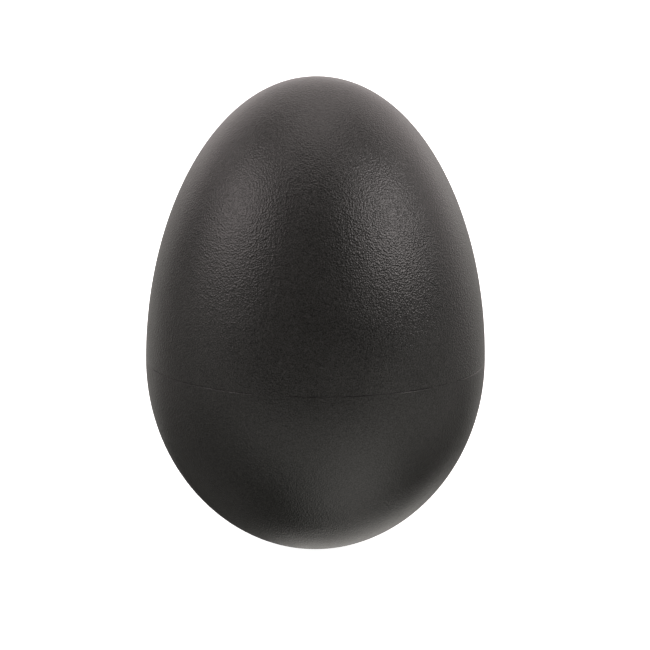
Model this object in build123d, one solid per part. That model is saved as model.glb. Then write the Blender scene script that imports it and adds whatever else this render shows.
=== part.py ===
from build123d import *

import os
from math import cos, pi, sin

# Egg shaker: a hand-held percussion egg, moulded as two hollow shells and filled with loose steel pellets.
#
# Frame: +Z runs up the egg's long axis, from the pole of the big end at the origin to the pole of the small end.
# The shells part at the girth, the widest circle. A tongue on the lower shell stands inside a rebate in the upper
# one, and its tip carries the ridge that is melted to weld the two together. The pellets lie in one layer in the
# bottom of the chamber, each with a clear straight way up to the chamber's roof. All dimensions are in millimetres.

# The egg's outer surface
LENGTH = 60.0  # pole to pole
WIDTH = 42.7  # across the girth
GIRTH_Z = 24.3  # height of the girth above the big end's pole
# Length of each curve's handle, as a share of the quarter that it spans; 0.552 would give an ellipse
BIG_END_HANDLE = 0.531
BIG_SIDE_HANDLE = 0.565
SMALL_SIDE_HANDLE = 0.513
SMALL_END_HANDLE = 0.595

# The wall, and the welded joint between the shells
WALL = 1.8
TONGUE_THICKNESS = 0.85
TONGUE_HEIGHT = 2.2
TONGUE_ROOT = 0.45  # how far the tongue's foot runs down into the wall
TONGUE_CLEARANCE = 0.05  # all round, between the tongue and the lip outside it
TONGUE_LEAD_IN = 0.25  # chamfer on the tongue's outer top corner
LIP_LEAD_IN = 0.2  # chamfer on the lip's inner bottom corner
WELD_RIDGE_HEIGHT = 0.12  # what is left of the ridge after welding
WELD_RIDGE_BASE = 0.4
WELD_RIDGE_CREST = 0.12
RIM_RADIUS = 0.08  # rounding of both outer rims, which shows as the parting line

# The fill
PELLET_DIAMETER = 3.5
PELLET_GAP = 0.05  # between neighbours seen from above, and between a pellet and the chamber's wall
PELLET_RINGS = 4  # six-sided rings round the middle pellet; the last leaves its six corners out

TOLERANCE = 1e-4

OUTER_RADIUS = WIDTH / 2
CHAMBER_RADIUS = OUTER_RADIUS - WALL
TONGUE_RADIUS = CHAMBER_RADIUS + TONGUE_THICKNESS
PELLET_RADIUS = PELLET_DIAMETER / 2


def egg_profile(inset):
    """Half of a section through the egg, this far inside its outer surface: two Bezier quarters and the axis."""
    radius = OUTER_RADIUS - inset
    bottom, top = inset, LENGTH - inset
    big, small = GIRTH_Z - bottom, top - GIRTH_Z
    outline = Bezier(
        (0, bottom),
        (radius * BIG_END_HANDLE, bottom),
        (radius, GIRTH_Z - big * BIG_SIDE_HANDLE),
        (radius, GIRTH_Z),
    ) + Bezier(
        (radius, GIRTH_Z),
        (radius, GIRTH_Z + small * SMALL_SIDE_HANDLE),
        (radius * SMALL_END_HANDLE, top),
        (0, top),
    )
    return make_face(outline + Line((0, top), (0, bottom)))


def spun(profile):
    """The solid that a half section in the XY plane makes, turned about the egg's axis."""
    return revolve(Plane.XZ * profile, Axis.Z)


def block(radius, bottom, top):
    """A half section of a plain cylinder about the axis."""
    return Pos(radius / 2, (bottom + top) / 2) * Rectangle(radius, top - bottom)


def rounded_rim(profile):
    """The half section with its outer corner at the girth rounded."""
    at_girth = [v for v in profile.vertices() if abs(v.Y - GIRTH_Z) < TOLERANCE]
    return fillet(max(at_girth, key=lambda v: v.X), RIM_RADIUS)


def tongue_profile():
    """The tongue, with its lead-in and the flattened weld ridge along the middle of its tip."""
    root, tip = GIRTH_Z - TONGUE_ROOT, GIRTH_Z + TONGUE_HEIGHT
    middle = CHAMBER_RADIUS + (TONGUE_THICKNESS - TONGUE_LEAD_IN) / 2
    return make_face(
        Polyline(
            (CHAMBER_RADIUS, root),
            (TONGUE_RADIUS, root),
            (TONGUE_RADIUS, tip - TONGUE_LEAD_IN),
            (TONGUE_RADIUS - TONGUE_LEAD_IN, tip),
            (middle + WELD_RIDGE_BASE / 2, tip),
            (middle + WELD_RIDGE_CREST / 2, tip + WELD_RIDGE_HEIGHT),
            (middle - WELD_RIDGE_CREST / 2, tip + WELD_RIDGE_HEIGHT),
            (middle - WELD_RIDGE_BASE / 2, tip),
            (CHAMBER_RADIUS, tip),
            close=True,
        )
    )


def rebate_profile():
    """What the upper shell leaves open for the tongue: a step inside the lip, with the lip's lead-in."""
    radius = TONGUE_RADIUS + TONGUE_CLEARANCE
    roof = GIRTH_Z + TONGUE_HEIGHT + WELD_RIDGE_HEIGHT
    return make_face(
        Polyline(
            (0, GIRTH_Z),
            (radius + LIP_LEAD_IN, GIRTH_Z),
            (radius, GIRTH_Z + LIP_LEAD_IN),
            (radius, roof),
            (0, roof),
            close=True,
        )
    )


def lower_shell():
    wall = egg_profile(0) - egg_profile(WALL)
    cup = rounded_rim(wall & block(WIDTH, 0, GIRTH_Z))
    return spun(cup + tongue_profile())


def upper_shell():
    wall = egg_profile(0) - egg_profile(WALL)
    dome = rounded_rim(wall & block(WIDTH, GIRTH_Z, LENGTH))
    return spun(dome - rebate_profile())


def pellet_places():
    """(x, y) of each pellet, in a six-sided lattice whose rings are numbered out from the middle one."""
    pitch = PELLET_DIAMETER + PELLET_GAP
    places = [(0.0, 0.0)]
    for ring in range(1, PELLET_RINGS + 1):
        for side in range(6):
            corner, along = side * pi / 3, (side + 2) * pi / 3
            first = 1 if ring == PELLET_RINGS else 0
            for step in range(first, ring):
                places.append(
                    (
                        pitch * (ring * cos(corner) + step * cos(along)),
                        pitch * (ring * sin(corner) + step * sin(along)),
                    )
                )
    return places


def pellet_heights(radius):
    """Lowest and highest place for the centre of a pellet this far from the axis, clear of the chamber's wall."""
    chamber = egg_profile(WALL)
    wall = [e for e in chamber.edges() if e.center().X > PELLET_RADIUS]
    clear = PELLET_RADIUS + PELLET_GAP

    def bound(inside, outside):
        while abs(outside - inside) > TOLERANCE:
            middle = (inside + outside) / 2
            centre = Vertex(radius, middle)
            if min(e.distance_to(centre) for e in wall) > clear:
                inside = middle
            else:
                outside = middle
        return inside

    return bound(GIRTH_Z, WALL), bound(GIRTH_Z, LENGTH - WALL)


def pellets():
    """Name, place at rest and upward travel of every pellet."""
    found = {}
    heights = {}
    for number, (x, y) in enumerate(pellet_places(), 1):
        radius = round((x * x + y * y) ** 0.5, 6)
        if radius not in heights:
            heights[radius] = pellet_heights(radius)
        low, high = heights[radius]
        found[f"pellet_{number:02d}"] = (x, y, low), high - low
    return found


def main():
    os.makedirs("parts", exist_ok=True)
    export_step(lower_shell(), "parts/lower_shell.step")
    export_step(upper_shell(), "parts/upper_shell.step")
    for name, (place, _) in pellets().items():
        export_step(Pos(*place) * Sphere(PELLET_RADIUS), f"parts/{name}.step")


main()
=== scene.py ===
from math import cos, pi, radians, sin, tau

import bmesh
import bpy
import numpy as np
from mathutils import Matrix, Quaternion, Vector


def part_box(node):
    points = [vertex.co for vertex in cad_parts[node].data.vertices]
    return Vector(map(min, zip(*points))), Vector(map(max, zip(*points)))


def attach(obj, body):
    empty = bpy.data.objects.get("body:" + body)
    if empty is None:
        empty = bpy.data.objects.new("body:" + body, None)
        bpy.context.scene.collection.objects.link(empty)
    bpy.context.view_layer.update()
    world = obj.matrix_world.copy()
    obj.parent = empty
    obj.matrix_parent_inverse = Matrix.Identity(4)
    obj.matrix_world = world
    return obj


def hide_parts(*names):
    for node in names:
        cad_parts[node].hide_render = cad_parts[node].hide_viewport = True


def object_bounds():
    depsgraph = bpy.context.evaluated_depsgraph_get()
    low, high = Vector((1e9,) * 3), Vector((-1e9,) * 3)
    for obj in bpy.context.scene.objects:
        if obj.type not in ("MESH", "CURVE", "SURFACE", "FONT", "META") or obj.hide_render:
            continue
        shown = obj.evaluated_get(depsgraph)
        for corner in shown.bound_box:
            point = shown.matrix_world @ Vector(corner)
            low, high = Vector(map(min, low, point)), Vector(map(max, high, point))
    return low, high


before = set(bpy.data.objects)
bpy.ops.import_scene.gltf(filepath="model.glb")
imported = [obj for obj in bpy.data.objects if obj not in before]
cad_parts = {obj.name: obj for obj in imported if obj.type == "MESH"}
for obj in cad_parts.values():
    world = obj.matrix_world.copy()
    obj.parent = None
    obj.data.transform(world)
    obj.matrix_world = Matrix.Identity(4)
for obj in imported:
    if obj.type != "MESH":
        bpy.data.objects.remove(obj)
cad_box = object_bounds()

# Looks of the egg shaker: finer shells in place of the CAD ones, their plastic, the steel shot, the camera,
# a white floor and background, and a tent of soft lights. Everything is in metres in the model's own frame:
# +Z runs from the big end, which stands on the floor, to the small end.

MM = 0.001

# The egg, as the frame gives it
LENGTH = cad_box[1].z
OUTER_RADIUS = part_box("upper_shell")[1].x
GIRTH_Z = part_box("upper_shell")[0].z
TONGUE_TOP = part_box("lower_shell")[1].z

# The rest of the shells' design: handle lengths as shares of the quarter, then the wall and the joint
BIG_END_HANDLE = 0.531
BIG_SIDE_HANDLE = 0.565
SMALL_SIDE_HANDLE = 0.513
SMALL_END_HANDLE = 0.595
WALL = 1.8 * MM
TONGUE_THICKNESS = 0.85 * MM
TONGUE_CLEARANCE = 0.05 * MM
TONGUE_LEAD_IN = 0.25 * MM
LIP_LEAD_IN = 0.2 * MM
WELD_RIDGE_HEIGHT = 0.12 * MM
WELD_RIDGE_BASE = 0.4 * MM
WELD_RIDGE_CREST = 0.12 * MM
CHAMBER_RADIUS = OUTER_RADIUS - WALL
TONGUE_RADIUS = CHAMBER_RADIUS + TONGUE_THICKNESS

# The shells' meshes
CURVE_SAMPLES = 4001  # along each quarter, before it is divided evenly
HALF_SIDES = 8  # round each ring, as round the square rings of a grid
HALF_SIDE = 48  # the faces in each of them at the girth
AROUND = HALF_SIDES * HALF_SIDE
OUTSIDE_STEP = 0.42 * MM
INSIDE_STEP = 0.78 * MM
SHARP_ANGLE = radians(35)  # between faces; edges past it are shaded sharp

# The parting line. Each place has its angle from the camera's side, in degrees and right positive, then the
# slit between the two rims there and how far the lower rim is rounded, both in millimetres. Between places
# both change steadily.
SEAM = np.array((
    (-180, 0.045, 0.03),
    (-150, 0.05, 0.02),
    (-110, 0.03, 0.06),
    (-80, 0.03, 0.03),
    (-62, 0.05, 0.05),
    (-42, 0.05, 0.06),
    (-36, 0.04, 0.10),
    (-22, 0.03, 0.16),
    (-18, 0.0, 0.02),
    (-11, 0.0, 0.02),
    (-7, 0.045, 0.02),
    (10, 0.055, 0.02),
    (26, 0.05, 0.02),
    (31, 0.05, 0.13),
    (40, 0.045, 0.13),
    (45, 0.03, 0.04),
    (56, 0.035, 0.02),
    (62, 0.035, 0.12),
    (84, 0.035, 0.14),
    (110, 0.05, 0.03),
    (140, 0.03, 0.04),
))
# Small waves on top: how often each goes up and down round the seam, and what it adds to the slit
SEAM_WAVES = ((17, 0.008 * MM), (31, 0.006 * MM), (53, 0.005 * MM))
UPPER_ROUND = 0.02 * MM  # how far the upper rim is rounded
ROUND_RINGS = 7
RIM_BAND = 0.4 * MM  # from the girth to the last ring that is evenly spaced
RIM_SUPPORT = 0.03 * MM  # from a rounding to the ring that holds the shading flat beside it


# ---- shells --------------------------------------------------------------------------------------


def azimuths(n):
    """Angles of a ring's vertices; the first is at a corner of the four-sided pattern round the poles."""
    return tau * np.arange(n) / n - pi / 4


def quarter(end, inset):
    """(radius, height) points along a quarter of the egg's section, from that end's pole to the girth."""
    radius = OUTER_RADIUS - inset
    if end == "small":
        pole, end_handle, side_handle = LENGTH - inset, SMALL_END_HANDLE, SMALL_SIDE_HANDLE
    else:
        pole, end_handle, side_handle = inset, BIG_END_HANDLE, BIG_SIDE_HANDLE
    a = np.array((0, pole))
    b = np.array((radius * end_handle, pole))
    c = np.array((radius, GIRTH_Z + (pole - GIRTH_Z) * side_handle))
    d = np.array((radius, GIRTH_Z))
    t = np.linspace(0, 1, CURVE_SAMPLES)[:, None]
    return a * (1 - t) ** 3 + 3 * b * t * (1 - t) ** 2 + 3 * c * t**2 * (1 - t) + d * t**3


def down_to(curve, z):
    """The part of a pole-to-girth curve on the pole's side of a height, ending at that height."""
    away = np.abs(curve[:, 1] - GIRTH_Z)
    limit = abs(z - GIRTH_Z)
    if limit == 0:
        return curve
    keep = away > limit
    end = np.interp(-limit, -away, curve[:, 0])
    return np.vstack([curve[keep], (end, z)])


def evenly(curve, step):
    """Points spaced evenly along a curve, both ends included, no further than a step apart."""
    run = np.concatenate([[0], np.cumsum(np.hypot(*np.diff(curve, axis=0).T))])
    places = np.linspace(0, run[-1], int(np.ceil(run[-1] / step)) + 1)
    return [tuple(np.interp(places[i], run, curve[:, k]) for k in (0, 1)) for i in range(len(places))]


def along_seam(column):
    """One column of SEAM for every vertex of a full ring, in metres."""
    from_camera = np.degrees(azimuths(AROUND)) + 90
    return np.interp(from_camera, SEAM[:, 0], SEAM[:, column], period=360) * MM


def rim(toward):
    """Rings that turn the outside into the flat rim; toward is +1 for the lower shell, whose rim faces up.

    The lower rim stands back by the slit, which closes towards the tongue.
    """
    if toward > 0:
        waves = sum(size * np.sin(times * azimuths(AROUND) + times) for times, size in SEAM_WAVES)
        edge = GIRTH_Z - np.maximum(along_seam(1) + waves, 0)
        rounding = along_seam(2)
    else:
        edge = GIRTH_Z
        rounding = UPPER_ROUND
    rings = [(OUTER_RADIUS, edge - toward * (rounding + RIM_SUPPORT))]
    for turn in np.linspace(0, pi / 2, ROUND_RINGS):
        rings.append((OUTER_RADIUS - rounding * (1 - cos(turn)), edge - toward * rounding * (1 - sin(turn))))
    return rings


def lower_joint():
    """The tongue's outline, from the flat rim inwards."""
    middle = CHAMBER_RADIUS + (TONGUE_THICKNESS - TONGUE_LEAD_IN) / 2
    tip = TONGUE_TOP - WELD_RIDGE_HEIGHT
    return [
        (TONGUE_RADIUS, GIRTH_Z),
        (TONGUE_RADIUS, tip - TONGUE_LEAD_IN),
        (TONGUE_RADIUS - TONGUE_LEAD_IN, tip),
        (middle + WELD_RIDGE_BASE / 2, tip),
        (middle + WELD_RIDGE_CREST / 2, TONGUE_TOP),
        (middle - WELD_RIDGE_CREST / 2, TONGUE_TOP),
        (middle - WELD_RIDGE_BASE / 2, tip),
        (CHAMBER_RADIUS, tip),
    ]


def upper_joint():
    """The rebate's outline, from the flat rim inwards."""
    radius = TONGUE_RADIUS + TONGUE_CLEARANCE
    return [
        (radius + LIP_LEAD_IN, GIRTH_Z),
        (radius, GIRTH_Z + LIP_LEAD_IN),
        (radius, TONGUE_TOP),
    ]


def lathe(name, profile, half_sides):
    """A closed body through rings of vertices.

    profile has each ring's (radius, height), each of them one number or an array with one for every vertex.
    half_sides has the faces in each of a ring's eight half sides, 0 at a pole, which is a single vertex.
    Near a pole each has one less than in the ring before, as in a square grid, so no faces fan out there.
    """
    verts, starts, faces = [], [], []
    for (r, z), k in zip(profile, half_sides):
        starts.append(len(verts))
        around = azimuths(max(HALF_SIDES * k, 1))
        ring = np.broadcast_arrays(r * np.cos(around), r * np.sin(around), z)
        verts += [tuple(v) for v in np.column_stack(ring)]
    for i in range(len(profile) - 1):
        faces += strip(starts[i], half_sides[i], starts[i + 1], half_sides[i + 1])
    mesh = bpy.data.meshes.new(name)
    mesh.from_pydata(verts, [], faces)
    bm = bmesh.new()
    bm.from_mesh(mesh)
    bmesh.ops.recalc_face_normals(bm, faces=bm.faces)
    bm.to_mesh(mesh)
    bm.free()
    piece = bpy.data.objects.new(name, mesh)
    bpy.context.scene.collection.objects.link(piece)
    return piece


def strip(a, ka, b, kb):
    """The faces between two rings that start at vertices a and b, with ka and kb faces in each half side."""
    if ka > kb:
        return strip(b, kb, a, ka)
    na, nb = max(HALF_SIDES * ka, 1), HALF_SIDES * kb
    if ka == kb:
        return [(a + i, a + (i + 1) % na, b + (i + 1) % nb, b + i) for i in range(na)]
    faces = []
    for side in range(HALF_SIDES // 2):
        inner, outer = side * 2 * ka, side * 2 * kb
        faces.append((a + inner % na, b + outer + 1, b + outer, b + (outer - 1) % nb))
        for j in range(inner, inner + 2 * ka):
            k = j - inner + outer
            faces.append((a + j, a + (j + 1) % na, b + (k + 2) % nb, b + k + 1))
    return faces


def shell(name, end, toward, joint, inner_end_z):
    """One half shell as a closed solid, from its outer pole over the rim and the joint to its inner pole.

    Its outside, rim included, takes the first material and the rest the second.
    """
    outside = evenly(down_to(quarter(end, 0), GIRTH_Z - toward * RIM_BAND), OUTSIDE_STEP) + rim(toward)
    inside = evenly(down_to(quarter(end, WALL), inner_end_z), INSIDE_STEP)[::-1]
    profile = outside + joint + inside
    half_sides = [min(i, HALF_SIDE) for i in range(len(profile))]
    half_sides = [min(k, len(profile) - 1 - i) for i, k in enumerate(half_sides)]
    piece = lathe(name, profile, half_sides)
    outside_verts = sum(max(HALF_SIDES * k, 1) for k in half_sides[: len(outside)])
    for face in piece.data.polygons:
        face.use_smooth = True
        face.material_index = int(max(face.vertices) >= outside_verts)
    piece.data.set_sharp_from_angle(angle=SHARP_ANGLE)
    return piece


upper = shell("upper_shell_skin", "small", -1, upper_joint(), TONGUE_TOP)
lower = shell("lower_shell_skin", "big", 1, lower_joint(), GIRTH_Z)
for piece, node in ((upper, "upper_shell"), (lower, "lower_shell")):
    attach(piece, "shell")
    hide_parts(node)


# ---- materials -----------------------------------------------------------------------------------


PLASTIC_IOR = 1.53
GRAIN = 0.235 * MM  # one crater across


class Nodes:
    """A material's node tree, with short ways to add what these materials use."""

    def __init__(self, name):
        self.material = bpy.data.materials.new(name)
        self.material.use_nodes = True
        self.tree = self.material.node_tree
        self.shader = self.tree.nodes["Principled BSDF"]
        self.place = self.tree.nodes.new("ShaderNodeTexCoord").outputs["Object"]

    def link(self, value, socket):
        """Links a socket, or sets a plain value on it."""
        if isinstance(value, bpy.types.NodeSocket):
            self.tree.links.new(value, socket)
        else:
            socket.default_value = value

    def noise(self, size, detail=2.0, roughness=0.5):
        """Cloudy noise, 0 to 1, whose clouds are about this large."""
        node = self.tree.nodes.new("ShaderNodeTexNoise")
        self.link(self.place, node.inputs["Vector"])
        node.inputs["Scale"].default_value = 1 / size
        node.inputs["Detail"].default_value = detail
        node.inputs["Roughness"].default_value = roughness
        return node.outputs["Fac"]

    def pits(self, size):
        """Round craters about this large: 0 at each one's bottom, rising to its rim."""
        node = self.tree.nodes.new("ShaderNodeTexVoronoi")
        self.link(self.place, node.inputs["Vector"])
        node.inputs["Scale"].default_value = 1 / size
        return node.outputs["Distance"]

    def sum(self, a, b, share=1.0):
        """a + share * b"""
        node = self.tree.nodes.new("ShaderNodeMath")
        node.operation = "MULTIPLY_ADD"
        self.link(b, node.inputs[0])
        self.link(share, node.inputs[1])
        self.link(a, node.inputs[2])
        return node.outputs[0]

    def spread(self, value, low, high, dim=0.3, bright=0.7):
        """value's usual span, dim to bright, stretched to low to high."""
        node = self.tree.nodes.new("ShaderNodeMapRange")
        self.link(value, node.inputs["Value"])
        node.inputs["From Min"].default_value = dim
        node.inputs["From Max"].default_value = bright
        node.inputs["To Min"].default_value = low
        node.inputs["To Max"].default_value = high
        return node.outputs["Result"]

    def mix(self, share, a, b):
        """The colour a where share is 0 and b where it is 1."""
        node = self.tree.nodes.new("ShaderNodeMix")
        node.data_type = "RGBA"
        self.link(share, node.inputs["Factor"])
        self.link((*a, 1), node.inputs["A"])
        self.link((*b, 1), node.inputs["B"])
        return node.outputs["Result"]

    def bump(self, height, depth, under=None):
        """A surface normal, from a height of 0 to 1 that is this deep in metres, on top of another bump."""
        node = self.tree.nodes.new("ShaderNodeBump")
        node.inputs["Distance"].default_value = depth
        self.link(height, node.inputs["Height"])
        if under:
            self.link(under, node.inputs["Normal"])
        return node.outputs["Normal"]

    def finish(self, colour, roughness, normal, **constants):
        """The material, with all of these in its shader; an underscore stands for a space in an input."""
        self.link(colour, self.shader.inputs["Base Color"])
        self.link(roughness, self.shader.inputs["Roughness"])
        self.link(normal, self.shader.inputs["Normal"])
        for socket, value in constants.items():
            self.shader.inputs[socket.replace("_", " ")].default_value = value
        return self.material


def eroded_plastic(name, dark, light, crater, depth, roughness):
    """Plastic moulded against spark-eroded steel: craters of this size and depth, and a colour speckled with
    painted shade and light.
    """
    n = Nodes(name)
    height = n.sum(n.pits(crater), n.noise(0.77 * crater, detail=1.0), 0.4)
    flow = n.noise(9 * MM, detail=4.0, roughness=0.55)
    low, high = roughness
    gloss = n.spread(n.sum(flow, n.noise(1.2 * MM), 0.5), low, high, 0.55, 0.95)
    # dark and pale specks of the colour: painted shade of the grain's hollows and light on its peaks, placed
    # at random
    painted_grain_shading = n.noise(0.14 * MM, detail=1.0)
    colour = n.mix(n.spread(n.sum(painted_grain_shading, flow, 0.15), 0, 1, 0.37, 0.77), dark, light)
    return n.finish(colour, gloss, n.bump(height, depth), IOR=PLASTIC_IOR)


def moulded_plastic(name):
    """The plastic of the faces that are out of sight, moulded on a turned core: a faint, fine bumpy texture
    and a dull skin.
    """
    n = Nodes(name)
    height = n.sum(n.noise(0.35 * MM), n.pits(1.1 * MM), 0.3)
    gloss = n.spread(n.noise(4 * MM, detail=3.0), 0.42, 0.52)
    colour = n.mix(n.noise(6 * MM, detail=3.0), (0.024, 0.0245, 0.023), (0.034, 0.0345, 0.033))
    return n.finish(colour, gloss, n.bump(height, 0.02 * MM), IOR=PLASTIC_IOR)


def tumbled_steel(name):
    """Shot that has been rolled and tumbled: bright metal with fine scratches, dents and dull patches."""
    n = Nodes(name)
    scratches = n.noise(0.12 * MM, detail=3.0, roughness=0.7)
    dents = n.pits(0.7 * MM)
    normal = n.bump(dents, 0.03 * MM, n.bump(scratches, 0.006 * MM))
    patches = n.noise(1.6 * MM, detail=4.0, roughness=0.6)
    gloss = n.spread(n.sum(patches, scratches, 0.4), 0.22, 0.42, 0.5, 0.9)
    colour = n.mix(n.spread(patches, 0, 1), (0.42, 0.43, 0.44), (0.60, 0.605, 0.60))
    return n.finish(colour, gloss, normal, Metallic=1.0)


upper_plastic = eroded_plastic(
    "upper_plastic", (0.004, 0.0042, 0.0038), (0.058, 0.059, 0.0565), GRAIN, 0.042 * MM, (0.33, 0.37)
)
lower_plastic = eroded_plastic(
    "lower_plastic", (0.008, 0.0082, 0.0077), (0.054, 0.055, 0.0526), GRAIN, 0.033 * MM, (0.36, 0.40)
)
inner_plastic = moulded_plastic("inner_plastic")
for piece, outside in ((upper, upper_plastic), (lower, lower_plastic)):
    piece.data.materials.append(outside)
    piece.data.materials.append(inner_plastic)

steel = tumbled_steel("tumbled_steel")
for name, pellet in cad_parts.items():
    if name.startswith("pellet_"):
        for part in pellet.material_slots:
            part.material = steel

# ---- camera --------------------------------------------------------------------------------------

CAMERA_DISTANCE = 0.5  # from the egg's middle
CAMERA_ELEVATION = radians(12.306)
CAMERA_ROLL = radians(0.41)
LENS = 220.3  # focal length and film width, both in millimetres
FILM_WIDTH = 36
ASIDE = (1.163 * MM, -1.433 * MM)  # the camera's shift to the right and upwards

back = Vector((0, -cos(CAMERA_ELEVATION), sin(CAMERA_ELEVATION)))
camera = bpy.data.objects.new("camera", bpy.data.cameras.new("camera"))
camera.data.lens = LENS
camera.data.sensor_width = FILM_WIDTH
bpy.context.scene.collection.objects.link(camera)
turn = (-back).to_track_quat("-Z", "Y").to_matrix()
turn = turn @ Matrix.Rotation(CAMERA_ROLL, 3, "Z")
camera.location = Vector((0, 0, LENGTH / 2)) + CAMERA_DISTANCE * back + turn @ Vector((*ASIDE, 0))
camera.rotation_mode = "QUATERNION"
camera.rotation_quaternion = turn.to_quaternion()
bpy.context.scene.camera = camera

# ---- stage and light -----------------------------------------------------------------------------

FLOOR_HALF = 3.0  # from the middle to an edge
STAND = 1.2  # how far the tent's panels stand from the egg

WARM = (1.0, 0.965, 0.915)
ROSY = (1.0, 0.905, 0.895)


def white_surround():
    """A white background that sends no light of its own to the egg."""
    world = bpy.data.worlds.new("white_surround")
    world.use_nodes = True
    background = world.node_tree.nodes["Background"]
    background.inputs["Color"].default_value = (1, 1, 1, 1)
    seen = world.node_tree.nodes.new("ShaderNodeLightPath").outputs["Is Camera Ray"]
    world.node_tree.links.new(seen, background.inputs["Strength"])
    bpy.context.scene.world = world


def pale_floor():
    """A wide floor that glows white by itself and lets the light of the panels below it reach the egg."""
    mesh = bpy.data.meshes.new("floor")
    far = FLOOR_HALF
    mesh.from_pydata([(-far, -far, 0), (far, -far, 0), (far, far, 0), (-far, far, 0)], [], [(0, 1, 2, 3)])
    floor = bpy.data.objects.new("floor", mesh)
    bpy.context.scene.collection.objects.link(floor)
    material = bpy.data.materials.new("lit_floor")
    material.use_nodes = True
    shader = material.node_tree.nodes["Principled BSDF"]
    shader.inputs["Base Color"].default_value = (0.9, 0.9, 0.9, 1)
    shader.inputs["Roughness"].default_value = 0.8
    shader.inputs["Emission Color"].default_value = (1, 1, 1, 1)
    shader.inputs["Emission Strength"].default_value = 1.0
    mesh.materials.append(material)
    floor.visible_diffuse = False
    floor.visible_glossy = False
    floor.visible_shadow = False


def softbox(name, azimuth, elevation, distance, width, height, radiance, tilt=0, colour=WARM):
    """A rectangular light that faces the egg, at an azimuth of 0 degrees in front and 90 on the right."""
    light = bpy.data.lights.new(name, "AREA")
    light.shape = "RECTANGLE"
    light.size, light.size_y = width, height
    light.energy = radiance * pi * width * height
    light.color = colour
    a, e = radians(azimuth), radians(elevation)
    way = Vector((sin(a) * cos(e), -cos(a) * cos(e), sin(e)))
    lamp = bpy.data.objects.new(name, light)
    lamp.location = Vector((0, 0, LENGTH / 2)) + distance * way
    lamp.rotation_mode = "QUATERNION"
    lamp.rotation_quaternion = way.to_track_quat("Z", "Y") @ Quaternion((0, 0, 1), radians(tilt))
    lamp.visible_camera = False
    bpy.context.scene.collection.objects.link(lamp)


white_surround()
pale_floor()

# name, azimuth, elevation, distance, width, height, radiance, tilt and colour: two strong boxes in front,
# then the tent, whose panels pass light through each other
softbox("left_box", -73, 30.5, 1.0, 0.73, 0.46, 3.62, 13, (1.0, 0.905, 0.90))
softbox("right_box", 66.5, 29.5, 1.0, 0.70, 0.235, 8.65, -18, (1.0, 0.93, 0.92))
softbox("top_panel", 0, 88, STAND, 1.08, 1.2, 1.5, 0, ROSY)
softbox("back_panel", 180, 34, STAND, 2.6, 1.4, 1.18, 0, ROSY)
softbox("back_low", 180, -6, STAND, 2.6, 0.7, 0.46)
softbox("left_edge", -125, 10, STAND, 0.6, 1.4, 0.17, 0, ROSY)
softbox("right_edge", 121, 24, STAND, 0.6, 1.4, 0.74, 0, ROSY)
softbox("right_back", 147, 3, STAND, 0.48, 0.42, 0.38)
softbox("low_left", -80, -6, STAND, 1.6, 0.8, 0.30)
softbox("low_right", 84, -21, STAND, 1.57, 0.6, 0.43)
softbox("front_under", 3, -42, STAND, 3.1, 0.84, 0.64)
softbox("left_under", -120, -40, STAND, 1.2, 1.0, 0.12)
softbox("right_under", 57, -68, STAND, 0.84, 1.0, 0.94)
softbox("back_under", 167, -43, STAND, 0.63, 0.68, 1.28)
softbox("back_under_left", -172, -43, STAND, 0.3, 0.68, 0.14)
softbox("right_low_back", 150, -22, STAND, 0.45, 0.28, 0.2)
softbox("left_back", -150, -12, STAND, 0.45, 0.4, 0.17)

bpy.context.scene.view_settings.view_transform = "Standard"
